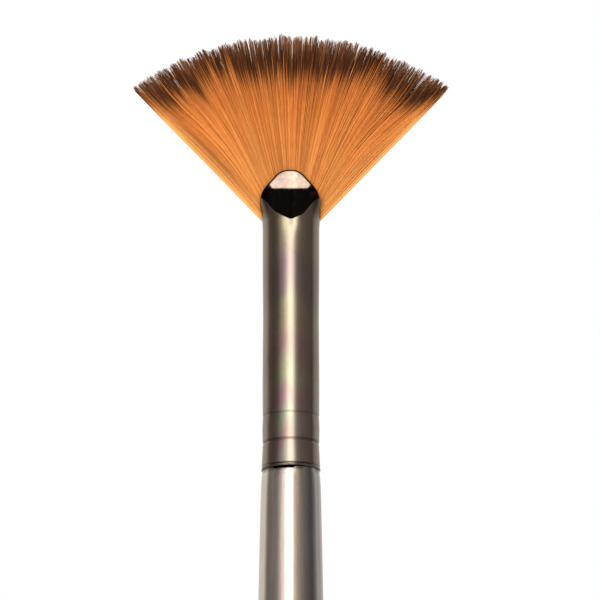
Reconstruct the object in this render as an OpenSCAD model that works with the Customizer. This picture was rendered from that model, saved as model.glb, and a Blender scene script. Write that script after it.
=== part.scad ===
// Fan brush: a short-handled artist's brush with a flat, fan-shaped tuft.
// The brush stands on its tail. +Z runs along it from the tail to the hair
// tips, the fan lies in the XZ plane, and its front faces -Y.

/* [Handle] */
// Length of the handle from its tail to the ferrule's rim
handle_len = 145; // [120:1:300]
// Largest diameter of the handle's belly
belly_d = 8.0; // [7.4:0.1:11]
// Distance of the belly below the ferrule's rim
belly_drop = 42; // [28:1:50]
// Diameter of the handle where its taper ends, near the tail
tail_d = 4.2; // [3.4:0.1:6]
// Diameter of the small flat at the end of the tail
tail_flat_d = 3.0; // [2:0.1:3.2]
// Length of the spigot that goes up into the ferrule
spigot_len = 12.5; // [9:0.5:15]

/* [Ferrule] */
// Outside diameter of the ferrule's plain barrel
ferrule_d = 6.56; // [6.4:0.02:6.8]
// Length of the ferrule from its rim to the top of its mouth
ferrule_len = 35.9; // [34:0.1:40]
// Wall thickness of the ferrule tube
wall = 0.3; // [0.25:0.01:0.35]
// Length of the part that is pinched flat, up to the top of the mouth
pinch_len = 6.6; // [6.2:0.1:7]
// Height of the flat lip at the mouth
lip_h = 2.15; // [1.7:0.05:2.6]
// Thickness of the pinched mouth over both lips
lip_t = 1.7; // [1.5:0.05:2]
// Height of the dome that the mouth's edge makes, seen from the front
dome_h = 3.8; // [3.4:0.1:4.2]
// Depth of each rolled crimp ring
crimp_depth = 0.06; // [0.02:0.01:0.1]

/* [Tuft] */
// Angle of the fan's straight edges from its centre line
fan_angle = 43.2; // [42:0.1:44]
// Distance from the point where the fan's edges meet to the tips in the middle
hair_r = 25.9; // [20:0.1:28]
// How much further out the corner tips reach than the middle ones
corner_extra = 1.1; // [0:0.1:2]
// Thickness of the fan at its root
fan_t_root = 1.0; // [0.8:0.05:1.1]
// Thickness of the fan at its tips
fan_t_tip = 0.8; // [0.5:0.05:1]
// Gap between the ferrule's edge and the bending part of the hair
root_gap = 0.4; // [0.35:0.05:0.6]

/* [Inside] */
// Height above the rim of the resin plug's lower face
plug_bottom = 17.5; // [16:0.5:19]
// Height of the resin plug
plug_h = 3; // [2:0.5:4]
// Clearance between the inner pieces and the ferrule's wall
fit_gap = 0.02; // [0.01:0.01:0.04]

/* [Hidden] */
$fn = 96;

rim_z = handle_len;                  // the ferrule's rim
fr = ferrule_d / 2;                  // barrel radius
mouth_r = fr + 0.25;                 // the barrel flares a little into the mouth
dome_c = ferrule_len - dome_h;       // height where the dome starts
dome_p = 1.35;                       // the dome is this full: 1 is a gable, 2 an ellipse
lip_z = ferrule_len - lip_h;         // crease between the slope and the lip
pinch_start = ferrule_len - pinch_len;  // vertex of the pinch on the front
flare_z = ferrule_len - 7.5;         // where the barrel starts to flare
slit_t = lip_t - 2 * wall;           // inside width of the mouth
slope = (fr - lip_t / 2) / (lip_z - pinch_start);
slope_in = wall * sqrt(1 + slope * slope);  // the wall measured across the axis
fan_c = ferrule_len - 9.4;           // where the fan's edges would meet
slit_z = ferrule_len - 5.8;          // lowest point of the slit at the sides
spigot_r = fr - wall - 0.15;         // the handle's spigot, with room for glue

// Each lock's two edges in degrees from the centre line, and how much longer
// its tips are than the fan's smooth outline.
LOCKS = [[-43.2, -42.1, 0.0], [-41.9, -37.3, 0.1], [-37.0, -33.0, 0.0],
         [-32.8, -28.0, 0.1], [-27.5, -25.7, -0.1], [-25.5, -22.3, 0.1],
         [-22.0, -19.7, -0.1], [-19.5, -17.6, 0.0], [-17.4, -12.6, 0.0],
         [-12.4, -10.6, 0.1], [-10.4, -7.7, -0.1], [-7.4, -3.5, 0.0],
         [-3.3, 0.2, 0.1], [0.4, 3.1, 0.0], [3.3, 6.8, 0.1],
         [7.1, 8.8, -0.1], [9.0, 11.9, 0.0], [12.1, 17.0, 0.0],
         [17.3, 21.5, 0.1], [22.0, 25.0, 0.1], [25.2, 27.3, -0.1],
         [27.8, 31.9, 0.0], [32.2, 36.4, 0.0], [36.8, 41.4, 0.1],
         [41.6, 43.2, 0.0]];

// A smooth step from 0 to 1.
function ease(t) = t <= 0 ? 0 : t >= 1 ? 1 : t * t * (3 - 2 * t);

// The handle's radius at a distance below the rim: a rounded shoulder, a
// swelling down to the belly and a long taper to the tail.
function handle_r(s) =
    s < belly_drop
    ? fr + 0.15 * (1 - exp(-s / 0.9))
      + (belly_d / 2 - fr - 0.15) * sin(90 * s / belly_drop)
    : belly_d / 2 - (belly_d / 2 - tail_d / 2)
      * pow(ease((s - belly_drop) / (handle_len - belly_drop) * 0.94) , 0.92);

// The ferrule's outer radius at a height above the rim: a rounded rim, two
// crimp rings with a slight swelling between them, a plain barrel, and a
// small flare into the mouth.
CRIMPS = [[3.2, 0.6, 1], [6.4, 0.3, 0.6]];  // height, half width, share of the depth
RIM_HS = [0.03, 0.09, 0.18, 0.27, 0.36, 0.6, 1.0, 1.6, 2.1, 2.6, 2.9, 3.2, 3.5, 3.8, 4.4, 5.0, 5.6, 6.1, 6.4, 6.7];
function ring(h, at, w) = abs(h - at) < w ? pow(cos(90 * (h - at) / w), 2) : 0;
function barrel_r(h) =
    fr
    + (h < 2.6 ? 0.12 * pow((2.6 - h) / 2.6, 1.6) : 0)
    - (h < 0.36 ? 0.32 * (1 - sqrt(1 - pow(1 - h / 0.36, 2))) : 0)
    + (h > 3.8 && h < 6.1 ? 0.03 * sin(180 * (h - 3.8) / 2.3) : 0)
    - crimp_depth * CRIMPS[0][2] * ring(h, CRIMPS[0][0], CRIMPS[0][1])
    - crimp_depth * CRIMPS[1][2] * ring(h, CRIMPS[1][0], CRIMPS[1][1])
    + (h > flare_z ? (mouth_r - fr) * ease((h - flare_z) / 3.2) : 0);
module ferrule_profile(top) {
    hs = concat([0], RIM_HS, [for (k = [0 : 4]) flare_z + 0.8 * k]);
    polygon(concat([[0, 0]], [for (h = hs) [barrel_r(h), h]], [[mouth_r, top], [0, top]]));
}
// The space inside, from a height up: a straight bore that flares with the mouth.
module inner_profile(inset, low, top) {
    r = fr - inset;
    polygon(concat([[0, low], [r, low]],
                   [for (k = [0 : 4]) [barrel_r(flare_z + 0.8 * k) - inset, flare_z + 0.8 * k]],
                   [[mouth_r - inset, top], [0, top]]));
}

// The mouth seen from the front: straight sides and a pointed dome.
module dome_outline(grow) {
    a = mouth_r + 0.01;
    n = 14;
    half = [for (i = [0 : n]) let (t = 90 * i / n)
                [a * pow(sin(t), 2 / dome_p), dome_c + (dome_h + grow) * pow(cos(t), 2 / dome_p)]];
    polygon(concat([[6, -1]], [[6, dome_c]],
                   [for (i = [n : -1 : 0]) half[i]],
                   [for (i = [1 : n]) [-half[i][0], half[i][1]]],
                   [[-6, dome_c], [-6, -1]]));
}

// The mouth seen from the side: full depth, a straight slope, a flat lip.
module pinch_outline(half, shift, top) {
    far = 5;
    low = pinch_start - (far - fr + shift) / slope;
    crease = pinch_start + (fr - shift - half) / slope;
    polygon([[-far, -1], [-far, low], [-half, crease], [-half, top],
             [half, top], [half, crease], [far, low], [far, -1]]);
}

// What its two children, a round profile and the mouth's front view, have in
// common with the pinch.
module pinched(half, shift) {
    translate([0, 0, rim_z]) intersection() {
        rotate_extrude($fn = 128) children(0);
        rotate([90, 0, 90]) linear_extrude(height = 14, center = true)
            pinch_outline(half, shift, ferrule_len + 3);
        rotate([90, 0, 0]) linear_extrude(height = 14, center = true) children(1);
    }
}

module handle() {
    steps_up = [0.1, 0.25, 0.5, 0.9, 1.5, 2.5, 4, 6, 8.5, 11.5, 15, 19, 24, 29, 34];
    steps_down = [for (i = [0 : 20]) belly_drop + i / 20 * (handle_len - 2.2 - belly_drop)];
    tip_r = handle_r(handle_len - 2.2);
    tip = [for (a = [15 : 15 : 75])
               [tail_flat_d / 2 + (tip_r - tail_flat_d / 2) * cos(a), 2.2 - 2.2 * sin(a)]];
    color([0.60, 0.57, 0.54])
        rotate_extrude($fn = 128)
            polygon(concat(
                [[0, rim_z + spigot_len], [spigot_r - 0.4, rim_z + spigot_len],
                 [spigot_r, rim_z + spigot_len - 0.4], [spigot_r, rim_z + 0.2],
                 [fr - wall - 0.04, rim_z - 0.02], [fr - 0.12, rim_z - 0.05]],
                [for (s = steps_up) [handle_r(s), rim_z - s]],
                [for (s = steps_down) [handle_r(s), rim_z - s]],
                tip,
                [[tail_flat_d / 2, 0], [0, 0]]));
}

module handle_adhesive() {
    color([0.86, 0.78, 0.55])
        translate([0, 0, rim_z]) rotate_extrude($fn = 96)
            translate([spigot_r + 0.01, 0.6])
                square([0.14 - fit_gap, spigot_len - 1.2]);
}

module ferrule() {
    color([0.46, 0.44, 0.43]) difference() {
        pinched(lip_t / 2, 0) {
            ferrule_profile(ferrule_len + 1);
            dome_outline(0);
        }
        translate([0, 0, -0.5]) pinched_space(wall);
        // The slit runs right round the dome, down to both sides.
        translate([-6, -slit_t / 2, rim_z + slit_z]) cube([12, slit_t, 9]);
    }
}
// The hollow of the ferrule, drawn half a millimetre high so that it passes
// through the rim.
module pinched_space(inset) {
    translate([0, 0, 0.5]) pinched(slit_t / 2, slope_in) {
        inner_profile(inset, -1, ferrule_len + 2);
        translate([-6, -2]) square([12, ferrule_len + 6]);
    }
}

module root_plug() {
    r = fr - wall - fit_gap;
    color([0.80, 0.62, 0.30])
        translate([0, 0, rim_z + plug_bottom]) rotate_extrude($fn = 96)
            polygon([[0, 0], [r - 0.3, 0], [r, 0.3], [r, plug_h], [0, plug_h]]);
}

// The filaments inside the ferrule: round at the plug, flat in the mouth,
// and ending just short of the dome edge.
module root_bundle() {
    color([0.75, 0.44, 0.20])
        pinched(slit_t / 2 - fit_gap, slope_in + fit_gap) {
            inner_profile(wall + fit_gap, plug_bottom + plug_h + 0.02, ferrule_len + 2);
            dome_outline(-0.12);
        }
}

// Distance from the fan's centre to the smooth line of the tips.
function tip_r(a) = hair_r + corner_extra * pow(abs(a) / 43.2, 2);
// Distance from the fan's centre to just outside the ferrule's edge, found by
// halving the step from inside the mouth to well outside it.
function in_mouth(x, h) =
    let (a = mouth_r + root_gap, b = dome_h + root_gap)
    h < dome_c ? abs(x) < a
               : pow(abs(x) / a, dome_p) + pow((h - dome_c) / b, dome_p) < 1;
function base_r(a, low = 3, high = 12, n = 18) =
    n == 0 ? high
    : let (m = (low + high) / 2)
      in_mouth(m * sin(a), fan_c + m * cos(a)) ? base_r(a, m, high, n - 1)
                                                : base_r(a, low, m, n - 1);

// One lock: a flat wedge between two angles that stands for its filaments.
module lock(i) {
    a0 = max(-fan_angle, LOCKS[i][0]);
    a1 = min(fan_angle, LOCKS[i][1]);
    n = 4;
    base = [for (k = [0 : n]) let (a = a0 + (a1 - a0) * k / n)
                [base_r(a) * sin(a), base_r(a) * cos(a)]];
    tips = [for (k = [n : -1 : 0]) let (a = a0 + (a1 - a0) * k / n,
                r = tip_r(a) + LOCKS[i][2] - 0.12 * pow(2 * k / n - 1, 2))
                [r * sin(a), r * cos(a)]];
    top = hair_r + corner_extra + 1;
    color([0.78, 0.46, 0.22])
        translate([0, 0, rim_z + fan_c]) intersection() {
            rotate([90, 0, 0]) linear_extrude(height = 3, center = true)
                polygon(concat(base, tips));
            rotate([90, 0, 90]) linear_extrude(height = 60, center = true)
                polygon([[-fan_t_root / 2, 0], [-fan_t_tip / 2, top],
                         [fan_t_tip / 2, top], [fan_t_root / 2, 0]]);
        }
}

handle();
handle_adhesive();
ferrule();
root_plug();
root_bundle();
lock(0);  // lock_01
lock(1);  // lock_02
lock(2);  // lock_03
lock(3);  // lock_04
lock(4);  // lock_05
lock(5);  // lock_06
lock(6);  // lock_07
lock(7);  // lock_08
lock(8);  // lock_09
lock(9);  // lock_10
lock(10);  // lock_11
lock(11);  // lock_12
lock(12);  // lock_13
lock(13);  // lock_14
lock(14);  // lock_15
lock(15);  // lock_16
lock(16);  // lock_17
lock(17);  // lock_18
lock(18);  // lock_19
lock(19);  // lock_20
lock(20);  // lock_21
lock(21);  // lock_22
lock(22);  // lock_23
lock(23);  // lock_24
lock(24);  // lock_25
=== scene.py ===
import math

import bpy
import numpy as np
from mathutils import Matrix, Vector


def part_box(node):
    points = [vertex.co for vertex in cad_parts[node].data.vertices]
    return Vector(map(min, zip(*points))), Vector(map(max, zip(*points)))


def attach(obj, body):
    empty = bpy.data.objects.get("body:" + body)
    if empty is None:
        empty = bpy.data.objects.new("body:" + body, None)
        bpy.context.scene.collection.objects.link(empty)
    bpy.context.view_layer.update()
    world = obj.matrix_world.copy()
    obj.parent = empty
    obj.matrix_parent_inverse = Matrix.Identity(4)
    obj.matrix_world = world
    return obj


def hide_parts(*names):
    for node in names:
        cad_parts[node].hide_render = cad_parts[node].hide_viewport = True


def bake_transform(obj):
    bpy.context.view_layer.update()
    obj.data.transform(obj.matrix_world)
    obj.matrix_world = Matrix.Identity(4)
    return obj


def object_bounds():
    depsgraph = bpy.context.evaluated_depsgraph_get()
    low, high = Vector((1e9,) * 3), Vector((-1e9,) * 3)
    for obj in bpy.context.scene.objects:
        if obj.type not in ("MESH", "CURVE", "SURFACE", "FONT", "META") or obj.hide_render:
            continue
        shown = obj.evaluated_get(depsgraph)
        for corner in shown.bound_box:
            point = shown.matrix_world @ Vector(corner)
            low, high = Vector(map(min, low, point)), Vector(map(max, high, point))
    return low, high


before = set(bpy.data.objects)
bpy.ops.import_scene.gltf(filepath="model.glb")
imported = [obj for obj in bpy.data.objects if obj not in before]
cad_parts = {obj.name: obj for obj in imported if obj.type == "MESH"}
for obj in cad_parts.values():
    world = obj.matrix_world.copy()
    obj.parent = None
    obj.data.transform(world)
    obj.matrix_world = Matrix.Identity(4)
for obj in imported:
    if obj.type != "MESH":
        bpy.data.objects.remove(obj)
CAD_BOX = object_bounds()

MM = 0.001
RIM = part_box("ferrule")[0].z                      # the ferrule's rim
FERRULE_H = (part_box("ferrule")[1].z - RIM) / MM   # rim to the top of the mouth
TOP = CAD_BOX[1].z                                # the tips in the middle
rng = np.random.default_rng(20623)


def smooth(t):
    t = np.clip(t, 0, 1)
    return t * t * (3 - 2 * t)


def curve(x, xs, ys):
    """A smooth line through the given points (monotone cubic)."""
    xs, ys = np.asarray(xs, float), np.asarray(ys, float)
    d = np.diff(ys) / np.diff(xs)
    m = np.empty_like(xs)
    m[0], m[-1] = d[0], d[-1]
    a, b = d[:-1], d[1:]
    m[1:-1] = np.where(a * b > 0, 2 * a * b / np.where(a + b == 0, 1, a + b), 0)
    x = np.clip(np.asarray(x, float), xs[0], xs[-1])
    i = np.clip(np.searchsorted(xs, x, "right") - 1, 0, len(xs) - 2)
    h = xs[i + 1] - xs[i]
    t = (x - xs[i]) / h
    return ((2 * t**3 - 3 * t**2 + 1) * ys[i] + (t**3 - 2 * t**2 + t) * h * m[i]
            + (-2 * t**3 + 3 * t**2) * ys[i + 1] + (t**3 - t**2) * h * m[i + 1])


def make(name, verts, faces, material, attrs=None):
    """A mesh object in metres from points in mm, with the height counted from the rim."""
    v = np.asarray(verts, float) * MM
    v[:, 2] += RIM
    me = bpy.data.meshes.new(name)
    me.from_pydata(v.tolist(), [], faces)
    me.validate()
    me.shade_smooth()
    for k, values in (attrs or {}).items():
        at = me.attributes.new(k, "FLOAT", "POINT")
        at.data.foreach_set("value", np.asarray(values, np.float32))
    me.materials.append(material)
    me.update()
    o = bpy.data.objects.new(name, me)
    bpy.context.scene.collection.objects.link(o)
    return o


# ---------------------------------------------------------------- materials
class Nodes:
    """Short calls to build a node tree."""

    def __init__(self, tree):
        self.t = tree
        self.t.nodes.clear()

    def add(self, kind, **settings):
        n = self.t.nodes.new(kind)
        for k, v in settings.items():
            setattr(n, k, v)
        return n

    def put(self, socket, value):
        if isinstance(value, bpy.types.NodeSocket):
            self.t.links.new(value, socket)
        else:
            socket.default_value = value

    def math(self, op, a, b=None, c=None, clamp=False):
        n = self.add("ShaderNodeMath", operation=op, use_clamp=clamp)
        for s, v in zip(n.inputs, (a, b, c)):
            if v is not None:
                self.put(s, v)
        return n.outputs[0]

    def remap(self, value, a, b, c=0.0, d=1.0, kind="SMOOTHSTEP"):
        n = self.add("ShaderNodeMapRange", interpolation_type=kind, clamp=True)
        self.put(n.inputs["Value"], value)
        n.inputs["From Min"].default_value = a
        n.inputs["From Max"].default_value = b
        n.inputs["To Min"].default_value = c
        n.inputs["To Max"].default_value = d
        return n.outputs["Result"]

    def mix(self, fac, a, b, blend="MIX"):
        n = self.add("ShaderNodeMix", data_type="RGBA", blend_type=blend)
        self.put(n.inputs[0], fac)
        self.put(n.inputs[6], a)
        self.put(n.inputs[7], b)
        return n.outputs[2]

    def ramp(self, value, stops, kind="LINEAR"):
        n = self.add("ShaderNodeValToRGB")
        r = n.color_ramp
        r.interpolation = kind
        while len(r.elements) < len(stops):
            r.elements.new(0.5)
        for e, (p, c) in zip(r.elements, stops):
            e.position, e.color = p, (*c, 1) if len(c) == 3 else c
        self.put(n.inputs[0], value)
        return n.outputs[0]

    def coords(self, scale=(1, 1, 1)):
        t = self.add("ShaderNodeTexCoord")
        m = self.add("ShaderNodeMapping")
        m.inputs["Scale"].default_value = scale
        self.put(m.inputs["Vector"], t.outputs["Object"])
        return m.outputs[0]

    def noise(self, vector, scale, detail=3.0, rough=0.5, distortion=0.0):
        n = self.add("ShaderNodeTexNoise")
        self.put(n.inputs["Vector"], vector)
        n.inputs["Scale"].default_value = scale
        n.inputs["Detail"].default_value = detail
        n.inputs["Roughness"].default_value = rough
        n.inputs["Distortion"].default_value = distortion
        return n.outputs["Fac"]

    def attribute(self, name):
        return self.add("ShaderNodeAttribute", attribute_name=name).outputs["Fac"]


def material(name, **values):
    m = bpy.data.materials.new(name)
    m.use_nodes = True
    n = Nodes(m.node_tree)
    shader = n.add("ShaderNodeBsdfPrincipled")
    out = n.add("ShaderNodeOutputMaterial")
    n.put(out.inputs["Surface"], shader.outputs[0])
    for k, v in values.items():
        shader.inputs[k.replace("_", " ")].default_value = v
    return m, n, shader


def lin(r, g, b):
    """Screen colour (0 to 255) as the linear colour that the shader takes."""
    return tuple(c / 12.92 if c <= 0.04045 else ((c + 0.055) / 1.055) ** 2.4
                 for c in (r / 255, g / 255, b / 255))


def plating():
    """Dark bright plating on a drawn tube: fine lines along it, a soft sheen of colours along its length, small scratches."""
    m, n, s = material("ferrule_plating", Metallic=1.0)
    where = n.add("ShaderNodeTexCoord").outputs["Object"]
    z = n.add("ShaderNodeSeparateXYZ")
    n.put(z.inputs[0], where)
    waver = n.noise(n.coords((1.8, 1.8, 0.5)), 330, 2, 0.5)
    h = n.math("MULTIPLY", n.math("SUBTRACT", z.outputs[2], RIM), 1 / (0.036))
    h = n.math("ADD", h, n.math("MULTIPLY", n.math("SUBTRACT", waver, 0.5), 0.14))
    # the colours run down a little to both sides of the middle
    h = n.math("ADD", h, n.math("MULTIPLY", n.math("ABSOLUTE", n.math("ADD", z.outputs[0], 0.0002)), 0.8 / 0.036))
    sheen = n.ramp(h, [(p / 36.0, c) for p, c in SHEEN], "EASE")
    cloud = n.noise(n.coords((1, 1, 0.16)), 900, 4, 0.6)
    fine = n.noise(n.coords((1, 1, 0.02)), 6500, 2, 0.6)
    base = n.mix(1.0, sheen, (*PLATING_COLOUR, 1), "MULTIPLY")
    # painted reflection: the sheen is strongest along one flank of the middle, where the highlight falls, and weak at
    # the sides; painted highlight: the core of the middle gets a brighter plating colour
    plain = (*PLATING_COLOUR, 1)
    # painted highlight: a brighter copy of the plating colour for the core of the middle
    bright = n.mix(1.0, n.mix(0.75, (1, 1, 1, 1), sheen), (*[c * k for c, k in zip(PLATING_COLOUR, (1.18, 1.25, 1.22))], 1), "MULTIPLY")
    highlight_flank = n.math("SUBTRACT", 1.0, n.remap(n.math("ABSOLUTE", n.math("ADD", z.outputs[0], 0.0008)), 0.0002, 0.0011))
    highlight_core = n.math("SUBTRACT", 1.0, n.remap(n.math("ABSOLUTE", n.math("SUBTRACT", z.outputs[0], 0.0001)), 0.0002, 0.0008))
    weak = n.remap(n.math("ABSOLUTE", z.outputs[0]), 0.0012, 0.0024)
    strong = n.mix(1.0, base, n.mix(0.85, (1, 1, 1, 1), sheen), "MULTIPLY")
    base = n.mix(highlight_flank, base, strong)
    base = n.mix(highlight_core, base, bright)
    base = n.mix(n.math("MULTIPLY", weak, 0.45), base, plain)
    # the lip is a little rosy on one side and creamy on the other
    side = n.ramp(n.remap(z.outputs[0], -0.0024, 0.0020, 0, 1, "LINEAR"), [(0.0, (0.87, 0.81, 0.84)), (0.45, (0.885, 0.83, 0.82)), (1.0, (0.92, 0.88, 0.81))], "EASE")
    lip = n.remap(z.outputs[2], RIM + 0.0333, RIM + 0.0340)
    base = n.mix(lip, base, n.mix(1.0, base, side, "MULTIPLY"))
    spots = n.noise(n.coords((1, 1, 0.5)), 2300, 3, 0.65)
    shade = n.math("MULTIPLY", n.remap(cloud, 0.30, 0.72, 0.93, 1.07), n.remap(fine, 0.2, 0.8, 0.95, 1.05, "LINEAR"))
    shade = n.math("MULTIPLY", shade, n.remap(spots, 0.58, 0.74, 1.0, 0.84))
    blotch = n.noise(n.coords((1, 1, 1.3)), 1250, 3, 0.6)
    shade = n.math("MULTIPLY", shade, n.remap(n.math("MULTIPLY", n.math("SUBTRACT", 0.62, blotch), lip), 0.0, 0.24, 0.90, 1.10))
    # painted shade: the groove above the rim and the rim's lowest edge are darkened in the colour
    up = n.math("SUBTRACT", z.outputs[2], RIM)
    groove_shade = n.math("MULTIPLY", n.remap(up, 0.00022, 0.00034), n.math("SUBTRACT", 1.0, n.remap(up, 0.00046, 0.00062)))
    shade = n.math("MULTIPLY", shade, n.math("SUBTRACT", 1.0, n.math("MULTIPLY", groove_shade, 0.42)))
    shade = n.math("MULTIPLY", shade, n.remap(up, 0.0, 0.00010, 0.75, 1.0))
    # painted shade: the front is darkened in the fold under the flat
    fold_shade = n.math("MULTIPLY", n.math("SUBTRACT", 1.0, n.remap(n.math("ABSOLUTE", z.outputs[0]), 0.00008, 0.00042)), n.remap(up, 0.0280, 0.0291))
    fold_shade = n.math("MULTIPLY", fold_shade, n.math("SUBTRACT", 1.0, lip))
    shade = n.math("MULTIPLY", shade, n.math("SUBTRACT", 1.0, n.math("MULTIPLY", fold_shade, 0.30)))
    # painted shade: the bead at the rim is darkened, by amounts that change across the front
    bead_shade = n.ramp(n.remap(z.outputs[0], -0.0033, 0.0033, 0, 1, "LINEAR"),
                  [(a / 6.6 + 0.5, (k, k, k)) for a, k in ((-3.3, 0.34), (-2.2, 0.72), (-0.9, 0.62), (-0.2, 0.26), (0.7, 0.38), (1.7, 0.95),
                                                          (2.4, 0.85), (3.1, 0.50))], "EASE")
    bead = n.math("SUBTRACT", 1.0, n.remap(up, 0.00020, 0.00030))
    shade = n.math("MULTIPLY", shade, n.math("ADD", n.math("MULTIPLY", bead, bead_shade), n.math("SUBTRACT", 1.0, bead)))
    # painted shade: dark lines along the grooves at 6.4 mm and 3.25 mm above the rim
    upper_groove_shade = n.math("SUBTRACT", 1.0, n.remap(n.math("ABSOLUTE", n.math("SUBTRACT", up, 0.0064)), 0.00004, 0.00022))
    shade = n.math("MULTIPLY", shade, n.math("SUBTRACT", 1.0, n.math("MULTIPLY", upper_groove_shade, 0.26)))
    middle_groove_shade = n.math("SUBTRACT", 1.0, n.remap(n.math("ABSOLUTE", n.math("SUBTRACT", up, 0.00325)), 0.00004, 0.00026))
    shade = n.math("MULTIPLY", shade, n.math("SUBTRACT", 1.0, n.math("MULTIPLY", middle_groove_shade, 0.50)))
    # painted shade: darkened where the point attribute marks the mouth's strips, the lip corners and the inside
    shade = n.math("MULTIPLY", shade, n.math("SUBTRACT", 1.0, n.math("MULTIPLY", n.attribute("dark"), 0.93)))
    hsv = n.add("ShaderNodeHueSaturation")
    n.put(hsv.inputs["Color"], base)
    n.put(hsv.inputs["Value"], shade)
    n.put(s.inputs["Base Color"], hsv.outputs[0])
    rough = n.math("ADD", n.remap(cloud, 0.3, 0.7, 0.09, 0.15), n.remap(fine, 0.3, 0.7, -0.02, 0.03))
    n.put(s.inputs["Roughness"], rough)
    scratch = n.noise(n.coords((1, 1, 0.03)), 9000, 3, 0.7, 0.2)
    dents = n.noise(n.coords((1, 1, 0.35)), 700, 2, 0.5)
    bump = n.add("ShaderNodeBump")
    bump.inputs["Strength"].default_value = 0.14
    bump.inputs["Distance"].default_value = 0.00003
    n.put(bump.inputs["Height"], n.math("ADD", n.math("MULTIPLY", scratch, 0.5), n.math("MULTIPLY", dents, 1.6)))
    n.put(s.inputs["Normal"], bump.outputs[0])
    return m


def lacquer():
    """Pearl grey lacquer: fine flakes and soft streaks along the turned wood under a clear glossy coat."""
    m, n, s = material("handle_lacquer", Metallic=0.95)
    streak = n.noise(n.coords((1, 1, 0.03)), 1500, 4, 0.6)
    cloud = n.noise(n.coords((1, 1, 0.3)), 260, 3, 0.5)
    flake = n.noise(n.coords(), 16000, 1, 0.5)
    tint = n.ramp(cloud, [(0.35, (1.0, 1.02, 0.98)), (0.5, (1.0, 0.95, 0.98)), (0.65, (0.97, 1.0, 0.97))], "EASE")
    base = n.mix(1.0, tint, (*LACQUER_COLOUR, 1), "MULTIPLY")
    value = n.math("MULTIPLY", n.remap(streak, 0.3, 0.7, 0.90, 1.08), n.remap(flake, 0.25, 0.75, 0.92, 1.08, "LINEAR"))
    place = n.add("ShaderNodeSeparateXYZ")
    n.put(place.inputs[0], n.add("ShaderNodeTexCoord").outputs["Object"])
    # painted shade: the spigot above the shoulder and a ring just inside the shoulder, in the gap under the rim, are
    # darkened
    value = n.math("MULTIPLY", value, n.remap(place.outputs[2], RIM - 0.00001, RIM + 0.00002, 1.0, 0.05))
    reach = n.math("SQRT", n.math("ADD", n.math("MULTIPLY", place.outputs[0], place.outputs[0]), n.math("MULTIPLY", place.outputs[1], place.outputs[1])))
    inside = n.math("MULTIPLY", n.math("SUBTRACT", 1.0, n.remap(reach, 0.0030, 0.0032)), n.remap(place.outputs[2], RIM - 0.0005, RIM - 0.0003))
    value = n.math("MULTIPLY", value, n.math("SUBTRACT", 1.0, n.math("MULTIPLY", inside, 0.95)))
    round_ = n.math("ARCTAN2", place.outputs[0], n.math("MULTIPLY", place.outputs[1], -1.0))
    # painted reflection: the lacquer is deeper in tone on one side and lighter elsewhere, in bands by bearing round the
    # handle, with tints beside the highlight
    reflection_band_tones = [(-1.57, (0.97, 1.02, 0.94)), (-1.33, (0.90, 0.94, 0.86)), (-1.17, (0.82, 0.85, 0.78)), (-1.06, (0.90, 0.92, 0.85)),
             (-0.96, (1.01, 1.02, 0.96)), (-0.88, (0.94, 0.96, 0.89)), (-0.81, (0.67, 0.67, 0.62)), (-0.74, (0.80, 0.81, 0.77)),
             (-0.67, (0.86, 0.89, 0.86)), (-0.58, (0.83, 0.85, 0.84)), (-0.49, (0.75, 0.73, 0.72)), (-0.44, (0.64, 0.61, 0.60)),
             (-0.38, (0.68, 0.64, 0.65)), (-0.33, (0.80, 0.76, 0.77)), (-0.28, (0.88, 0.84, 0.86)), (-0.22, (0.84, 0.81, 0.85)),
             (-0.15, (0.89, 0.82, 0.81)), (0.00, (0.96, 0.96, 0.96)), (0.07, (0.66, 0.54, 0.47)), (0.12, (0.50, 0.43, 0.40)),
             (0.17, (0.76, 0.64, 0.56)), (0.25, (0.81, 0.73, 0.63)), (0.33, (0.66, 0.66, 0.60)), (0.44, (0.52, 0.55, 0.53)),
             (0.55, (0.40, 0.43, 0.45)), (0.66, (0.27, 0.30, 0.33)), (0.74, (0.32, 0.35, 0.38)), (0.81, (0.61, 0.64, 0.70)),
             (0.92, (0.67, 0.70, 0.74)), (1.12, (0.57, 0.59, 0.59)), (1.33, (0.62, 0.62, 0.63)), (1.57, (1.00, 1.00, 1.00))]
    painted_reflection_bands = n.ramp(n.math("ADD", n.math("DIVIDE", round_, math.pi), 0.5),
                  [(a / math.pi + 0.5, tuple(0.9 * c for c in k)) for a, k in reflection_band_tones], "LINEAR")
    base = n.mix(1.0, base, painted_reflection_bands, "MULTIPLY")
    base = n.mix(1.0, base, (1 / 0.9, 1 / 0.9, 1 / 0.9, 1), "MULTIPLY")
    pearl = n.noise(n.coords((1, 1, 0.12)), 2400, 4, 0.65)
    value = n.math("MULTIPLY", value, n.remap(pearl, 0.3, 0.7, 0.91, 1.08, "LINEAR"))
    # painted shade under the rim, less on one side
    under_rim_shade = n.remap(place.outputs[2], RIM - 0.00065, RIM - 0.00010)
    spare = n.math("MULTIPLY", n.remap(round_, 0.36, 0.52), n.math("SUBTRACT", 1.0, n.remap(round_, 0.88, 1.05)))
    under_rim_shade = n.math("MULTIPLY", under_rim_shade, n.math("SUBTRACT", 1.0, spare))
    value = n.math("MULTIPLY", value, n.math("SUBTRACT", 1.0, n.math("MULTIPLY", under_rim_shade, 0.68)))
    hsv = n.add("ShaderNodeHueSaturation")
    n.put(hsv.inputs["Color"], base)
    n.put(hsv.inputs["Value"], value)
    n.put(s.inputs["Base Color"], hsv.outputs[0])
    n.put(s.inputs["Roughness"], n.remap(streak, 0.3, 0.7, 0.13, 0.19))
    s.inputs["Coat Weight"].default_value = 0.5
    s.inputs["Coat Roughness"].default_value = 0.06
    s.inputs["Coat IOR"].default_value = 1.5
    bump = n.add("ShaderNodeBump")
    bump.inputs["Strength"].default_value = 0.12
    bump.inputs["Distance"].default_value = 0.00003
    n.put(bump.inputs["Height"], n.math("ADD", streak, n.math("MULTIPLY", flake, 0.3)))
    n.put(s.inputs["Normal"], bump.outputs[0])
    return m


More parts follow.
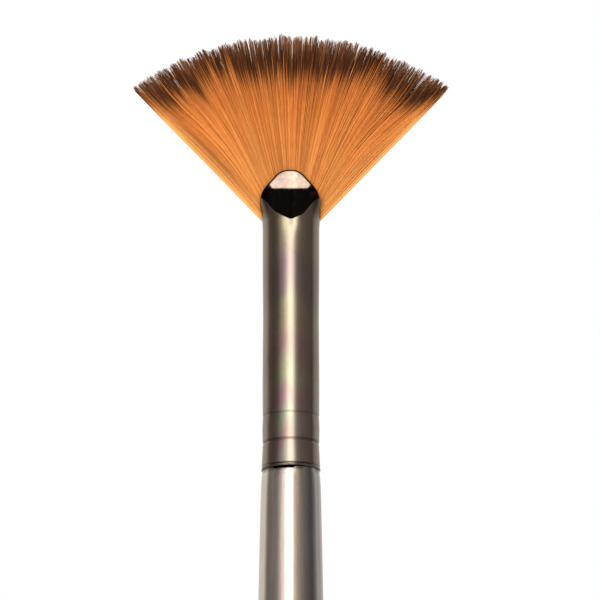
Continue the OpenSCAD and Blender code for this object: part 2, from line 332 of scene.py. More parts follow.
def hair():
    """Tapered synthetic filament, golden with tips dyed dark brown; each filament and each clump has its own tone."""
    m, n, s = material("filament", Roughness=0.45)
    s.inputs["Specular IOR Level"].default_value = 0.06
    d = n.attribute("tip_mm")
    stops = [(p / 16.0, tuple(min(1.0, c * HAIR_GAIN) for c in lin(*c))) for p, c in HAIR_STOPS]
    base = n.ramp(n.math("DIVIDE", d, 16.0), stops, "EASE")
    tone = n.math("MULTIPLY", n.attribute("tone"), 1.0)
    own = n.attribute("own")
    fleck = n.noise(n.coords((1, 1, 0.4)), 2600, 2, 0.5)
    value = n.math("ADD", 1.0, n.math("MULTIPLY", n.math("SUBTRACT", own, 0.5), 0.095))
    value = n.math("MULTIPLY", value, n.math("ADD", 1.0, tone))
    value = n.math("MULTIPLY", value, n.remap(fleck, 0.3, 0.7, 0.96, 1.04))
    # painted light: a warm glow along the fan's straight edges, mixed with the colour of pale filaments
    base = n.mix(n.attribute("glow_and_pale"), base, (*lin(255, 186, 106), 1))
    hsv = n.add("ShaderNodeHueSaturation")
    n.put(hsv.inputs["Color"], base)
    n.put(hsv.inputs["Value"], value)
    n.put(hsv.inputs["Hue"], n.math("ADD", 0.5, n.math("MULTIPLY", n.math("SUBTRACT", own, 0.5), 0.008)))
    n.put(s.inputs["Base Color"], hsv.outputs[0])
    return m


def inner(name, dark, light, roughness, scale):
    m, n, s = material(name, Roughness=roughness)
    f = n.noise(n.coords(), scale, 3, 0.6)
    n.put(s.inputs["Base Color"], n.ramp(f, [(0.3, dark), (0.7, light)], "EASE"))
    bump = n.add("ShaderNodeBump")
    bump.inputs["Strength"].default_value = 0.2
    bump.inputs["Distance"].default_value = 0.00005
    n.put(bump.inputs["Height"], f)
    n.put(s.inputs["Normal"], bump.outputs[0])
    return m


PLATING_COLOUR = (0.28, 0.222, 0.172)
# The sheen of the plating at heights above the rim, in mm.
SHEEN = [(0, (1.0, 1.04, 1.06)), (2.4, (1.0, 1.08, 1.10)), (4.4, (1.04, 0.92, 1.02)), (6.6, (0.98, 1.15, 1.08)),
         (8.7, (1.06, 0.90, 1.08)), (11.4, (1.02, 1.15, 1.04)), (14.8, (1.02, 0.90, 0.99)), (17.0, (1.02, 1.02, 0.96)),
         (20.0, (1.0, 1.06, 0.95)), (22.3, (0.91, 0.88, 0.97)), (24.4, (0.90, 0.83, 0.99)), (27.6, (1.0, 1.02, 0.94)), (30.0, (1.0, 1.03, 0.92)),
         (33.6, (1.0, 0.99, 1.03)), (36.0, (0.96, 0.96, 1.00))]
LACQUER_COLOUR = (0.62, 0.55, 0.475)
HAIR_GAIN = 1.035
HAIR_STOPS = [(0.0, (134, 90, 60)), (0.7, (100, 62, 38)), (1.5, (80, 44, 24)), (2.4, (74, 39, 20)), (3.1, (84, 46, 23)),
              (3.8, (124, 70, 32)), (4.5, (164, 94, 43)), (5.2, (187, 107, 50)), (6.1, (197, 114, 54)), (8.4, (204, 120, 55)),
              (10.2, (209, 126, 60)), (12.0, (209, 128, 62)), (15.5, (207, 131, 66))]

PLATING, LACQUER, HAIR = plating(), lacquer(), hair()
RESIN = inner("root_resin", (0.42, 0.25, 0.06), (0.62, 0.42, 0.14), 0.25, 1500)
GLUE = inner("handle_glue", (0.60, 0.50, 0.28), (0.78, 0.68, 0.42), 0.5, 2500)


# ---------------------------------------------------------------- handle
def lathe(rows, sides):
    """Points and faces of a turned solid from (radius, height) rows, closed at both ends on the axis."""
    rows = np.asarray(rows, float)
    a = np.linspace(0, 2 * math.pi, sides, endpoint=False)
    v = np.stack([np.outer(rows[:, 0], np.sin(a)), -np.outer(rows[:, 0], np.cos(a)),
                  np.repeat(rows[:, 1:2], sides, 1)], -1).reshape(-1, 3)
    faces = []
    for i in range(len(rows) - 1):
        for j in range(sides):
            k = (j + 1) % sides
            faces.append((i * sides + j, i * sides + k, (i + 1) * sides + k, (i + 1) * sides + j))
    v = np.vstack([v, [[0, 0, rows[0, 1]], [0, 0, rows[-1, 1]]]])
    b, t = len(v) - 2, len(v) - 1
    last = (len(rows) - 1) * sides
    for j in range(sides):
        k = (j + 1) % sides
        faces.append((b, k, j))
        faces.append((t, last + j, last + k))
    return v, faces


HANDLE_LEN = (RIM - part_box("handle")[0].z) / MM
SPIGOT_TOP = (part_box("handle")[1].z - RIM) / MM
FR = 3.28
BELLY_R = (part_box("handle")[1].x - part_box("handle")[0].x) / 2 / MM
BELLY_AT, TAIL_R, TAIL_FLAT = 42.0, 2.1, 1.5


def handle_r(s):
    """The handle's radius at a distance below the rim."""
    s = np.asarray(s, float)
    up = FR + 0.15 * (1 - np.exp(-s / 0.9)) + (BELLY_R - FR - 0.15) * np.sin(math.pi / 2 * np.clip(s / BELLY_AT, 0, 1))
    t = smooth(np.clip((s - BELLY_AT) / (HANDLE_LEN - BELLY_AT), 0, 1) * 0.94)
    return np.where(s < BELLY_AT, up, BELLY_R - (BELLY_R - TAIL_R) * t**0.92)


def handle():
    tip_s = HANDLE_LEN - 2.2
    r_tip = float(handle_r(tip_s))
    rows = [(0.05, -HANDLE_LEN), (TAIL_FLAT * 0.6, -HANDLE_LEN), (TAIL_FLAT, -HANDLE_LEN)]
    for a in np.radians(np.linspace(84, 3, 22)):
        rows.append((TAIL_FLAT + (r_tip - TAIL_FLAT) * math.cos(a), -(HANDLE_LEN - 2.2 + 2.2 * math.sin(a))))
    for s in np.concatenate([np.linspace(tip_s, 16, 120), np.linspace(15.2, 2.2, 26), np.geomspace(1.9, 0.07, 22)]):
        rows.append((float(handle_r(s)), -s))
    shoulder = rows[-1][0]
    rows += [(shoulder - 0.01, -0.035), (shoulder - 0.04, -0.014), (3.10, -0.012), (2.94, -0.01), (2.86, 0.05), (2.83, 0.2)]
    rows += [(2.83, h) for h in np.linspace(0.6, SPIGOT_TOP - 0.5, 14)]
    rows += [(2.81, SPIGOT_TOP - 0.3), (2.62, SPIGOT_TOP - 0.08), (2.43, SPIGOT_TOP), (1.2, SPIGOT_TOP), (0.1, SPIGOT_TOP)]
    v, f = lathe(rows, 160)
    round_ = np.degrees(np.arctan2(v[:, 0], -v[:, 1]))
    low = smooth((round_ + 41) / 9) * smooth((12 - round_) / 9)
    top_part = smooth((v[:, 2] + 1.4) / 1.3) * (np.hypot(v[:, 0], v[:, 1]) > 2.9) * (v[:, 2] < 0.04)
    v[:, 2] -= 0.20 * low * top_part
    o = make("handle_turned", v, f, LACQUER)
    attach(o, "brush")
    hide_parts("handle")
    return o


# ---------------------------------------------------------------- ferrule
WALL = 0.30
LIP_T, LIP_AT = 0.85, FERRULE_H - 2.06      # half thickness of the lip, and the crease below it
MOUTH_R = 3.54
SLIT_AT = FERRULE_H - 5.8
MOUTH_C = -0.127                            # the flattened mouth sits a little to one side
MOUTH = [(0, 36.0), (0.42, 35.98), (0.85, 35.87), (1.32, 35.61), (1.63, 35.35), (1.84, 35.11), (2.06, 34.86), (2.28, 34.61),
         (2.55, 34.28), (2.79, 33.99), (2.96, 33.75), (3.15, 33.42), (3.31, 32.95), (3.44, 32.3), (3.53, 31.6), (3.60, 30.6)]
RADII = [(0.36, 3.395), (0.50, 3.375), (1.18, 3.34), (1.89, 3.31), (2.84, 3.27), (3.6, 3.275), (4.96, 3.307), (6.14, 3.27),
         (6.9, 3.275), (9.7, 3.29), (13.3, 3.277), (15.7, 3.265), (18.05, 3.25), (20.45, 3.269), (24.06, 3.298), (28.4, 3.31),
         (29.3, 3.33), (30.2, 3.41), (31.0, 3.53), (31.65, 3.74), (32.25, 3.96), (33.0, 4.2), (36.2, 4.9)]
DEPTHS = [(28.0, 0.0), (29.3, -0.02), (30.2, -0.23), (31.2, -0.45), (32.25, -0.72), (36.2, -1.5)]
SLOPE = 0.583
BEND = [(0, 0), (0.08, 0.0124), (0.16, 0.0272), (0.25, 0.047), (0.4, 0.096), (0.55, 0.170)]   # the soft start of the slope


def barrel(h):
    """Half width of the round tube, which widens as it is flattened towards the mouth."""
    h = np.asarray(h, float)
    r = curve(h, *zip(*RADII))
    r = r - np.where(h < 0.14, 0.07 * np.clip(1 - h / 0.14, 0, 1) ** 1.6, 0)
    for at, w, depth in ((0.43, 0.18, 0.040), (3.2, 0.38, 0.045), (6.4, 0.28, 0.028)):
        r = r - depth * np.where(np.abs(h - at) < w, np.cos(math.pi / 2 * np.clip((h - at) / w, -1, 1)) ** 2, 0)
    return r


def corner_at(x):
    """Height below which the lip is painted with shade: the crease in the middle, a little higher at its ends."""
    return LIP_AT + 0.45 * smooth((np.abs(x - MOUTH_C) - 2.08) / 0.46)


def outer(phi, h):
    """The ferrule's outer surface: round, and flattened from the front and the back towards the mouth."""
    w = barrel(h)
    d = w + curve(h, *zip(*DEPTHS))
    x, a = w * np.sin(phi), d * np.abs(np.cos(phi))
    a = a - 0.120 * np.exp(-((x / 0.93) ** 2)) * smooth((h - 27.3) / 1.1)
    below = np.clip(LIP_AT - h, 0, 9)
    lim = LIP_T + curve(below, *zip(*BEND)) + SLOPE * np.clip(below - 0.55, 0, None)
    lim = lim - 0.20 * smooth((-x - 1.3) / 1.2) * smooth(below / 2.6)
    lim = lim + 0.25 * smooth((np.abs(x - MOUTH_C) - 1.4) / 1.5) * smooth(below / 2.0)
    # the flat ends below in a point
    lim = lim + (0.030 * np.exp(-(((np.abs(x) - 0.80) / 0.50) ** 2)) - 0.15 * np.exp(-((x / 0.60) ** 2))) * smooth(below / 2.9)
    k = 0.05                                     # how softly the round side turns into the flat
    e = np.clip(0.5 + 0.5 * (lim - a) / k, 0, 1)
    low = np.clip(lim * (1 - e) + a * e - k * e * (1 - e) * 0.5, 0, None)
    return np.stack([x, -np.sign(np.cos(phi)) * low, h + 0 * x], -1)


def dome(x):
    return curve(np.abs(x - MOUTH_C), *zip(*MOUTH))


def ferrule():
    slit = LIP_T - WALL
    turn = math.acos(slit / 3.35)                # the angle where the slit's wall stands
    quarter = np.unique(np.concatenate([np.linspace(0, turn - 0.02, 62), turn + np.array([-0.012, -0.006, 0, 0.006, 0.012]),
                                        np.linspace(turn + 0.02, math.pi / 2, 9)]))
    quarter = quarter[quarter <= math.pi / 2 + 1e-9]
    half = np.concatenate([quarter, (math.pi - quarter[:-1])[::-1]])
    phi = np.concatenate([half[:-1], math.pi + half[:-1]])
    # the height of the mouth's edge in each column
    lo, hi = np.full(len(phi), 29.5), np.full(len(phi), 36.3)
    for _ in range(40):
        mid = (lo + hi) / 2
        x = barrel(mid) * np.sin(phi)
        inside = (np.abs(x - MOUTH_C) < 3.60) & (mid < dome(x))
        lo, hi = np.where(inside, mid, lo), np.where(inside, hi, mid)
    top = lo
    side = np.abs(3.35 * np.cos(phi)) / slit     # below 1 in the slit
    open_ = smooth((1.03 - side) / 0.06)
    u_shape = SLIT_AT + 0.25 * np.clip(side, 0, 1) ** 4
    top = top * (1 - open_) + u_shape * open_
    rim_rows = [0.0, 0.012, 0.04, 0.08, 0.12, 0.16, 0.20, 0.25, 0.29, 0.33, 0.37, 0.40, 0.43, 0.46, 0.49, 0.53, 0.57, 0.61, 0.9]
    tube = np.concatenate([rim_rows, np.linspace(1.3, 2.8, 6), np.linspace(2.92, 3.48, 15), np.linspace(3.7, 6.1, 8),
                           np.linspace(6.18, 6.62, 11), np.linspace(7, 27.6, 30), [28.2]])
    crease = np.minimum(LIP_AT, top - 0.15)

    def rows(n_slope, n_lip, start=28.7):
        out = []
        for t in np.linspace(0, 1, n_slope):
            out.append(start + (crease - 0.045 - start) * t)
        out += [crease - 0.02, crease, crease + 0.02]
        room = top - crease - 0.02
        edge = np.minimum(0.30, room * 0.6)
        for t in np.linspace(0, 1, n_lip - 6)[1:]:
            out.append(crease + 0.02 + (room - edge) * t)
        for t in (0.25, 0.45, 0.62, 0.77, 0.89, 0.97, 1.0):
            out.append(top - edge * (1 - t))
        return out

    hs = [np.full(len(phi), h) for h in tube] + rows(64, 14)
    hs = np.array(hs)
    P = outer(phi[None, :], hs)
    n_rows, n_cols = hs.shape
    # the lip's edge is rolled over: the surface turns inwards along the last 0.16 mm
    slope = np.abs(np.gradient(dome(P[-1, :, 0]), P[-1, :, 0] + 1e-9))
    lean = 1 / np.sqrt(1 + np.clip(np.nan_to_num(slope, nan=0, posinf=3), 0, 3) ** 2)
    lean = np.where(open_ > 0.01, 1.0, lean)
    d = np.clip((top[None, :] - hs) * lean[None, :] / 0.20, 0, 1)
    roll = 0.15 * (1 - np.sqrt(np.clip(1 - (1 - d) ** 2, 0, 1)))
    inward = np.stack([-np.sin(phi) * 0, np.cos(phi) / np.maximum(np.abs(np.cos(phi)), 1e-6), phi * 0], -1)
    inward[np.abs(np.cos(phi)) < 0.17] = 0
    P = P + inward[None] * (roll * (hs > 29.5))[..., None]

    def normals(ph, h):
        e = 1e-3
        du = outer(ph + e, h) - outer(ph - e, h)
        dv = outer(ph, h + e) - outer(ph, h - e)
        n = np.cross(du, dv)
        return n / np.linalg.norm(n, axis=-1, keepdims=True)

    # the inside: its own rows, offset by the wall
    hin = np.array([np.full(len(phi), h) for h in (0.18, 1.0, 4.0, 8.0, 12.0, 16.0, 20.0, 24.0, 27.0, 28.2)] + rows(36, 8))
    N = normals(phi[None, :], hin)
    N[..., 2] = np.where(np.abs(N[..., 2]) > 0.9, 0, N[..., 2])
    Q = outer(phi[None, :], hin) - N * WALL
    flat = hin < 12
    bore = 3.28 - WALL
    Q[flat] = np.stack([bore * np.sin(np.broadcast_to(phi, hin.shape)[flat]), -bore * np.cos(np.broadcast_to(phi, hin.shape)[flat]),
                        hin[flat]], -1)
    Q[..., 2] = np.where(flat, hin, Q[..., 2])
    m_rows = len(hin)
    verts = [P.reshape(-1, 3), Q.reshape(-1, 3)]
    # a rounded top edge between the two, and the rim's underside
    edge = (P[-1] + Q[-1]) / 2 + np.array([0, 0, 0.02])
    under = np.stack([(3.01) * np.sin(phi), -(3.01) * np.cos(phi), np.full(n_cols, 0.03)], -1)
    verts += [edge, under]
    # painted shade: dark strips, a thin one round the mouth and wider at its sides, and darker bands down the sides of
    # the flattening
    line_x = MOUTH_C + np.linspace(-3.60, 3.60, 400)
    line_h = dome(line_x)
    px, ph = P[..., 0].ravel(), P[..., 2].ravel()
    away = np.full(px.shape, 9.0)
    for x0, h0 in zip(line_x, line_h):
        away = np.minimum(away, np.hypot(px - x0, ph - h0))
    broad = curve(ph, (28.0, 30.7, 31.3, 32.0, 33.0, 33.8, 36.5), (0.06, 0.10, 0.24, 0.42, 0.40, 0.28, 0.25))
    dark = smooth((ph - 31.7) / 1.0) * (1 - smooth((away / broad - 0.55) / 0.6))
    dark = np.maximum(dark, 0.55 * smooth((np.abs(px) - 2.3) / 0.5) * smooth((3.47 - np.abs(px)) / 0.22) * smooth((ph - 29.3) / 1.6))
    # painted shade: the lip's corners are black below the raised crease line
    corner = smooth((corner_at(px) - ph) / 0.10 + 0.5) * smooth((np.abs(px - MOUTH_C) - 2.06) / 0.12) * (ph > LIP_AT - 0.25)
    dark = np.maximum(dark, 1.05 * corner)
    # painted shade: the inside of the tube, its top edge and the rim's underside are darkened, fully in the lowest
    # inside rows
    inside_shade = np.where(np.repeat(np.array([1.0, 1.0] + [0.0] * (m_rows - 2))[:, None], n_cols, 1) > 0, 1.0, 0.6).ravel()
    dark = np.concatenate([dark, inside_shade, np.ones(n_cols), np.ones(n_cols)])
    at_q = n_rows * n_cols
    at_e = at_q + m_rows * n_cols
    at_u = at_e + n_cols
    faces = []
    for j in range(n_cols):
        k = (j + 1) % n_cols
        for i in range(n_rows - 1):
            faces.append((i * n_cols + j, i * n_cols + k, (i + 1) * n_cols + k, (i + 1) * n_cols + j))
        for i in range(m_rows - 1):
            faces.append((at_q + i * n_cols + k, at_q + i * n_cols + j, at_q + (i + 1) * n_cols + j, at_q + (i + 1) * n_cols + k))
        p, q = (n_rows - 1) * n_cols, at_q + (m_rows - 1) * n_cols
        faces.append((p + j, p + k, at_e + k, at_e + j))
        faces.append((at_e + j, at_e + k, q + k, q + j))
        faces.append((at_u + j, at_u + k, k, j))
        faces.append((at_q + j, at_q + k, at_u + k, at_u + j))
    o = make("ferrule_tube", np.vstack(verts), faces, PLATING, {"dark": dark})
    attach(o, "brush")
    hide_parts("ferrule")
    return o


# ---------------------------------------------------------------- tuft
FAN_C = FERRULE_H - 9.4                       # where the fan's straight edges meet
HALF = 43.2
LOCKS = [(-43.2, -42.1, 0.0), (-41.9, -37.3, 0.1), (-37.0, -33.0, 0.0), (-32.8, -27.88, 0.1), (-27.66, -25.7, -0.1),
         (-25.5, -22.3, 0.1), (-22.0, -19.7, -0.1), (-19.5, -17.6, 0.0), (-17.4, -12.6, 0.0), (-12.4, -10.6, 0.1),
         (-10.4, -7.7, -0.1), (-7.4, -3.5, 0.0), (-3.3, 0.2, 0.1), (0.4, 3.1, 0.0), (3.3, 6.8, 0.1), (7.1, 8.8, -0.1),
         (9.0, 11.9, 0.0), (12.1, 17.0, 0.0), (17.3, 21.65, 0.1), (21.85, 25.0, 0.1), (25.2, 27.46, -0.1), (27.66, 31.9, 0.0),
         (32.1, 36.5, 0.0), (36.72, 41.4, 0.1), (41.6, 43.2, 0.0)]
PER_DEGREE = 54
SIDES = 5


# By the angle from the middle: how deep the dye goes in mm, how many filaments took it badly, and how much longer the hair is.
DYE = [(0, 4.35), (6, 4.5), (9, 4.45), (12, 4.3), (15, 4.2), (18, 3.8), (21, 3.0), (24, 3.0), (27, 3.25), (29.5, 4.4), (33, 3.85),
       (36, 3.75), (39, 3.9), (42, 2.7), (43.2, 2.4)]
PALE = [(0, 0.03), (12, 0.03), (15, 0.08), (18, 0.12), (21, 0.25), (24, 0.32), (27, 0.36), (29.5, 0.08), (33, 0.13), (36, 0.13),
        (39, 0.07), (42, 0.28), (43.2, 0.30)]
LONGER = [(0, 0.10), (9, 0.15), (12, 0.15), (15, 0.26), (18, 0.14), (21, 0.05), (24, 0.12), (27, -0.08), (30, 0.05), (43.2, 0.0)]


def tip_r(a):
    return 25.9 + 1.1 * (np.abs(a) / HALF) ** 2 + curve(np.abs(a), *zip(*LONGER))


def mouth_at(a):
    """Distance from the fan's centre to the edge of the mouth along an angle in degrees."""
    lo, hi = np.full(np.shape(a), 3.0), np.full(np.shape(a), 12.0)
    s, c = np.sin(np.radians(a)), np.cos(np.radians(a))
    for _ in range(24):
        m = (lo + hi) / 2
        x, h = m * s, FAN_C + m * c
        inside = np.where(h < 31.8, np.abs(x) < MOUTH_R, (h < dome(x)) & (np.abs(x) < MOUTH_R))
        lo, hi = np.where(inside, m, lo), np.where(inside, hi, m)
    return hi


def tubes(paths, radii):
    """Closed tubes with pointed ends round paths of shape (count, points, 3). Returns points, faces and the path index of each point."""
    n, m, _ = paths.shape
    d = np.gradient(paths, axis=1)
    d /= np.linalg.norm(d, axis=-1, keepdims=True)
    side = np.cross(d, np.array([0.0, 1.0, 0.0]))
    side /= np.linalg.norm(side, axis=-1, keepdims=True)
    up = np.cross(side, d)
    twist = rng.uniform(0, 2 * math.pi, n)
    ring = []
    for k in range(SIDES):
        a = (2 * math.pi * k / SIDES + twist)[:, None, None]
        ring.append(paths + radii[..., None] * (np.cos(a) * side + np.sin(a) * up))
    ring = np.stack(ring, 2)                                   # count, points, sides, 3
    verts = ring.reshape(n, m * SIDES, 3)
    tips = paths[:, -1] + d[:, -1] * radii[:, -1, None] * 1.2
    roots = paths[:, 0] - d[:, 0] * radii[:, 0, None] * 0.5
    verts = np.concatenate([verts, tips[:, None], roots[:, None]], 1)
    one = []
    for i in range(m - 1):
        for k in range(SIDES):
            j = (k + 1) % SIDES
            one.append((i * SIDES + k, i * SIDES + j, (i + 1) * SIDES + j, (i + 1) * SIDES + k))
    caps = []
    for k in range(SIDES):
        j = (k + 1) % SIDES
        caps.append(((m - 1) * SIDES + k, (m - 1) * SIDES + j, m * SIDES))
        caps.append((j, k, m * SIDES + 1))
    per = m * SIDES + 2
    faces = []
    for f in range(n):
        b = f * per
        faces += [tuple(b + q for q in face) for face in one]
        faces += [tuple(b + q for q in face) for face in caps]
    point = np.concatenate([np.repeat(np.arange(m), SIDES), [m - 1, 0]])
    return verts.reshape(-1, 3), faces, np.tile(point, n), np.repeat(np.arange(n), per)


def bend_in(a):
    """How far, in degrees, a filament with its tip at angle a lies further in near the mouth."""
    return np.sign(a) * curve(np.abs(a), (0, 12, 20, 26, 32, 37, 40, 41.6, 42.6, 43.2), (0, 0.2, 0.6, 1.3, 3.0, 4.6, 4.9, 4.0, 1.8, 0.0))


POINTS = 12


def wander(count, scale):
    """Smooth random numbers of a given spread, one per clump in order across the fan."""
    w = rng.normal(0, 1, count)
    w = np.convolve(np.pad(w, 2, "wrap"), (0.2, 0.6, 1.0, 0.6, 0.2), "valid")
    return scale * w / w.std()


def locks():
    roots = []
    clumps = []
    for i, (a0, a1, extra) in enumerate(LOCKS):
        n = max(1, int(round((a1 - a0) / 1.15)))
        w = rng.uniform(0.45, 1.6, n)
        cuts = a0 + (a1 - a0) * np.concatenate([[0], np.cumsum(w) / w.sum()])
        clumps += [(i, cuts[k], cuts[k + 1]) for k in range(n)]
    depth = wander(len(clumps), 0.32)
    broad = wander(len(clumps), 0.042)
    s_line = np.array([0, 0.08, 0.18, 0.30, 0.42, 0.54, 0.65, 0.75, 0.84, 0.91, 0.96, 1.0])
    by_lock = {}
    for c, (i, b0, b1) in enumerate(clumps):
        a0, a1, extra = LOCKS[i]
        count = int(round(PER_DEGREE * (b1 - b0) * (1.35 if abs(b0 + b1) > 78 else 1.0)))
        mid, half = (b0 + b1) / 2, (b1 - b0) / 2
        cover = rng.random(count) < 0.50                      # filaments that lie across the gaps between clumps
        u = np.linspace(-1, 1, count) + rng.normal(0, 0.06, count)
        rng.shuffle(u)
        u = np.where(cover, rng.uniform(-1.5, 1.5, count), u)
        v = rng.uniform(-1, 1, count)
        tooth = np.where(cover, 1.0, rng.uniform(0.58, 1.0))  # how far the clump closes at its tip
        lean = rng.normal(0, 0.10)
        longer = rng.normal(0, 0.09)
        stray = rng.random(count) < 0.05
        at_tip = np.where(cover, rng.uniform(b0 - 0.5, b1 + 0.5, count), mid + half * u) + np.where(stray, rng.normal(0, 0.8, count), 0)
        at_tip = np.clip(at_tip, max(a0 - 0.5, -HALF), min(a1 + 0.5, HALF))
        length = tip_r(at_tip) + extra + longer + 0.20 - 0.22 * np.abs(np.clip(u, -1, 1)) ** 1.8 - np.abs(rng.normal(0, 0.22, count))
        length -= np.where(cover, rng.uniform(0.1, 0.9, count), 0)
        length -= np.where(rng.random(count) < 0.08, rng.uniform(0.3, 1.6, count), 0)
        base_a = at_tip - bend_in(at_tip)
        r0 = mouth_at(base_a) - 0.9
        s = s_line[None, :]
        r = r0[:, None] + (length - r0)[:, None] * s
        g = 1 - smooth((r - 11.0) / 13.0)
        close = smooth((s - 0.89) / 0.11) * (1 - tooth)[:, None]
        wave = (rng.normal(0, 0.16, count)[:, None] * np.sin(math.pi * s * rng.uniform(0.8, 1.8, count)[:, None])
                + np.where(stray, rng.normal(0, 1.4, count), 0)[:, None] * (1 - s) * smooth(s * 3))
        a = at_tip[:, None] - bend_in(at_tip)[:, None] * g - (half * u)[:, None] * close + wave + lean * s
        a = np.clip(a, -HALF, HALF)
        thick = 0.47 - 0.17 * s
        y = v[:, None] * thick + rng.normal(0, 0.05) * smooth(s) + rng.normal(0, 0.02, count)[:, None] * s
        y = np.clip(y, -0.49, 0.49)
        ar = np.radians(a)
        path = np.stack([r * np.sin(ar), y, FAN_C + r * np.cos(ar)], -1)
        width = 0.080 - 0.048 * smooth((s - 0.80) / 0.20)
        radius = 0.5 * width * rng.uniform(0.88, 1.12, count)[:, None]
        verts, faces, point, which = tubes(path, radius)
        badly = rng.random(count) < curve(np.abs(at_tip), *zip(*PALE)) * rng.uniform(0.5, 1.5)
        shift = np.where(badly, rng.uniform(1.2, 3.6, count), 0) + rng.normal(0, 0.5, count) - depth[c]
        shift += 4.05 - curve(np.abs(at_tip), *zip(*DYE))
        tip_mm = (length[:, None] - r + shift[:, None])[which, point]
        tone = broad[c] + rng.normal(0, 0.022) + rng.normal(0, 0.030, count)[which]
        own = rng.random(count)[which]
        off = (HALF - np.abs(a)) * r * math.pi / 180           # mm in from the fan's straight edge
        reach = smooth((length[:, None] - r - 2.2) / 4.0)
        # painted light: a warm glow near the fan's straight edges, where light passes through the filaments
        glow_and_pale = (0.85 * np.exp(-off / 0.24) + 0.30 * smooth((1.15 - off) / 0.30)) * reach
        tone_along = -0.10 * np.exp(-(((off - 1.25) / 0.20) ** 2)) * reach
        # a few pale filaments show along the gaps between the locks
        gap = np.minimum(np.abs(at_tip - a0), np.abs(at_tip - a1))
        pale = (gap < 0.30) & (rng.random(count) < 0.4) & (v < 0.2)
        bright = 0.34 if abs(abs(a1) - 37.3) < 0.8 or abs(abs(a0) - 36.8) < 0.3 else 0.16
        glow_and_pale = np.maximum(glow_and_pale, np.where(pale, rng.uniform(0.4, 1.0, count), 0)[:, None] * bright)
        tone = tone + tone_along[which, point]
        glow_and_pale = np.maximum(glow_and_pale[which, point], np.where(own > 0.87, 0.17, 0) * smooth((tip_mm - 4.8) / 1.6))
        by_lock.setdefault(i, []).append((verts, faces, tip_mm, tone, own, glow_and_pale))
        pick = rng.random(count) < 0.33
        roots.append(path[pick, :2])
    for i, parts in sorted(by_lock.items()):
        verts = np.vstack([p[0] for p in parts])
        faces, at = [], 0
        for p in parts:
            faces += [tuple(at + q for q in f) for f in p[1]]
            at += len(p[0])
        attrs = {"tip_mm": np.concatenate([p[2] for p in parts]), "tone": np.concatenate([p[3] for p in parts]),
                 "own": np.concatenate([p[4] for p in parts]), "glow_and_pale": np.concatenate([p[5] for p in parts])}
        name = "lock_%02d" % (i + 1)
        o = make(name + "_filaments", verts, faces, HAIR, attrs)
        mid = (LOCKS[i][0] + LOCKS[i][1]) / 2
        a = math.radians(mid)
        out = float(mouth_at(np.array([mid]))[0])
        c = Vector((0, 0, RIM + FAN_C * MM))
        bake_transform(o)
        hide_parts(name)
    return np.vstack(roots)


def root_filaments(starts):
    """The filaments inside the ferrule, from the resin plug to the slit in the mouth."""
    low = (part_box("root_plug")[1].z - RIM) / MM
    p1, p0 = starts[:, 1], starts[:, 0]
    n = len(starts)
    x1, y1, h1 = p0.T
    q = np.sqrt(rng.random(n)) * 2.7
    w = np.arctan2(y1 * 6, x1) + rng.normal(0, 0.3, n)
    x0, y0 = q * np.cos(w), q * np.sin(w)
    t = np.array([0, 0.25, 0.5, 0.7, 0.85, 1.0])[None, :]
    h = low - 0.02 + (h1 - low)[:, None] * t
    f = smooth((h - 26.0) / np.maximum(h1 - 26.0, 1)[:, None])
    x = x0[:, None] * (1 - f) + np.clip(x1, -2.95, 2.95)[:, None] * f
    y = y0[:, None] * (1 - f) + y1[:, None] * f
    path = np.stack([x, y, h], -1)
    path = np.concatenate([path, p0[:, None] + (p1 - p0)[:, None] * 0.35], 1)
    radius = np.full(path.shape[:2], 0.055)
    radius[:, -1] = 0.03
    verts, faces, point, which = tubes(path, radius)
    o = make("root_filaments", verts, faces, HAIR,
             {"tip_mm": np.full(len(verts), 15.0), "tone": np.full(len(verts), -0.12), "own": rng.random(n)[which],
              "glow_and_pale": np.zeros(len(verts))})
    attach(o, "brush")
    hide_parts("root_bundle")
    return o


handle()
ferrule()
root_filaments(locks())
for name, m, slot in (("root_plug", RESIN, "resin"), ("handle_adhesive", GLUE, "adhesive")):
    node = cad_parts[name]
    node.data.materials.clear()
    node.data.materials.append(m)


# ---------------------------------------------------------------- stage, light, camera
WARM, WHITE = (1.0, 0.91, 0.89), (1.0, 0.99, 0.98)
# What the polished parts mirror at each bearing from the camera's side, in degrees: brightness and tint.
AROUND = [(-180, 0.78, WHITE), (-143, 0.86, WHITE), (-118, 0.94, WHITE), (-106, 0.55, WHITE), (-97, 0.285, WARM), (-78, 0.20, WARM),
          (-63, 0.25, WARM), (-52, 0.40, WARM), (-42, 0.80, WHITE), (-34, 1.15, WHITE), (-24, 1.95, WHITE), (-13, 3.3, WHITE),
          (-3, 3.95, WHITE), (6, 3.4, WHITE), (12, 2.05, WHITE), (18, 1.05, WHITE), (25, 0.62, WHITE), (37, 0.43, WARM),
          (50, 0.34, WARM), (65, 0.29, WARM), (80, 0.26, WARM), (92, 0.205, WARM), (100, 0.32, WHITE), (110, 0.65, WHITE),
          (143, 0.79, WHITE), (180, 0.78, WHITE)]


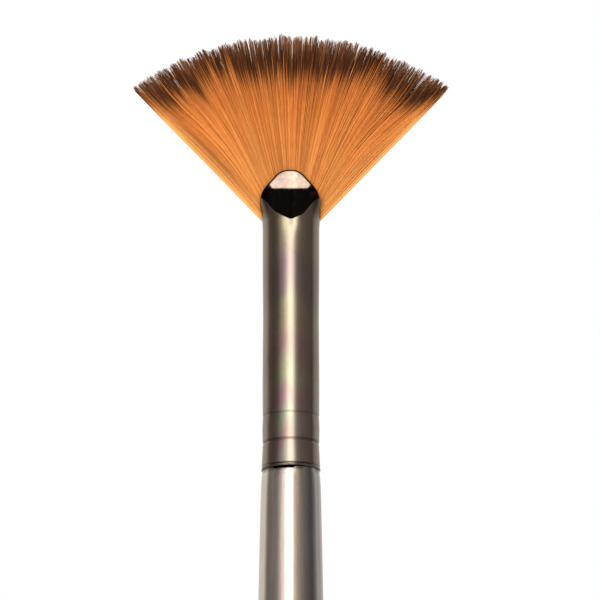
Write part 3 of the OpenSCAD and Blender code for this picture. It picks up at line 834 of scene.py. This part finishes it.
def studio():
    w = bpy.data.worlds.new("studio")
    bpy.context.scene.world = w
    w.use_nodes = True
    if hasattr(w, "cycles"):
        w.cycles.sampling_method = "NONE"
    n = Nodes(w.node_tree)
    out = n.add("ShaderNodeOutputWorld")
    bg = n.add("ShaderNodeBackground")
    n.put(out.inputs["Surface"], bg.outputs[0])
    xyz = n.add("ShaderNodeSeparateXYZ")
    n.put(xyz.inputs[0], n.add("ShaderNodeTexCoord").outputs["Generated"])
    x, y, z = xyz.outputs
    az = n.math("MULTIPLY", n.math("ARCTAN2", x, n.math("MULTIPLY", y, -1.0)), 180 / math.pi)
    el = n.math("MULTIPLY", n.math("ARCSINE", z), 180 / math.pi)
    away = n.math("ABSOLUTE", az)
    level = n.math("MULTIPLY", n.remap(el, -42, -34), n.math("SUBTRACT", 1.0, n.remap(el, 34, 42)))
    around = n.ramp(n.math("DIVIDE", n.math("ADD", az, 180.0), 360.0),
                    [((a + 180) / 360, tuple(v / 4 * k for k in t)) for a, v, t in AROUND], "LINEAR")
    behind = n.math("MULTIPLY", n.remap(away, 162, 168), 1.0)
    around = n.mix(behind, around, (0.35, 0.35, 0.35, 1))
    c = n.mix(level, (0.0042, 0.0040, 0.0042, 1), around)
    c = n.mix(1.0, c, (4, 4, 4, 1), "MULTIPLY")
    lp = n.add("ShaderNodeLightPath")
    soft = n.mix(n.remap(el, -20, 60), (0.80, 0.80, 0.80, 1), (1.0, 1.0, 1.0, 1))
    c = n.mix(lp.outputs["Is Glossy Ray"], soft, c)
    c = n.mix(lp.outputs["Is Camera Ray"], c, (1, 1, 1, 1))
    n.put(bg.inputs["Color"], c)
    bg.inputs["Strength"].default_value = 1.0


studio()

key = bpy.data.lights.new("key", "AREA")
key.shape, key.size, key.energy = "SQUARE", 0.35, 4.0
key_o = bpy.data.objects.new("key", key)
key_o.location = (-0.35, -0.75, RIM + 0.35)
key_o.rotation_euler = (Vector((0, 0, RIM + 0.03)) - key_o.location).to_track_quat("-Z", "Y").to_euler()
key_o.visible_glossy = False
bpy.context.scene.collection.objects.link(key_o)

floor_m, nn, fs = material("floor", Roughness=0.8)
nn.put(fs.inputs["Base Color"], nn.ramp(nn.noise(nn.coords(), 8, 3), [(0.3, (0.86, 0.86, 0.86)), (0.7, (0.90, 0.90, 0.90))]))
me = bpy.data.meshes.new("floor")
me.from_pydata([(-6, -6, 0), (6, -6, 0), (6, 6, 0), (-6, 6, 0)], [], [(0, 1, 2, 3)])
me.materials.append(floor_m)
floor = bpy.data.objects.new("floor", me)
floor.visible_glossy = False
bpy.context.scene.collection.objects.link(floor)

UP = math.radians(16.0)
DIST = 0.52
target = Vector((0.00104, 0, RIM + 0.02045))
cam = bpy.data.cameras.new("camera")
cam.sensor_width = 36
cam.lens = 36 * DIST / 0.0693
cam.clip_start, cam.clip_end = 0.01, 50
cam_o = bpy.data.objects.new("camera", cam)
direction = Vector((0, math.cos(UP), math.sin(UP)))
cam_o.location = target - direction * DIST
cam_o.rotation_euler = direction.to_track_quat("-Z", "Y").to_euler()
bpy.context.scene.collection.objects.link(cam_o)
bpy.context.scene.camera = cam_o

view = bpy.context.scene.view_settings
view.view_transform = "Standard"
view.look = "None"
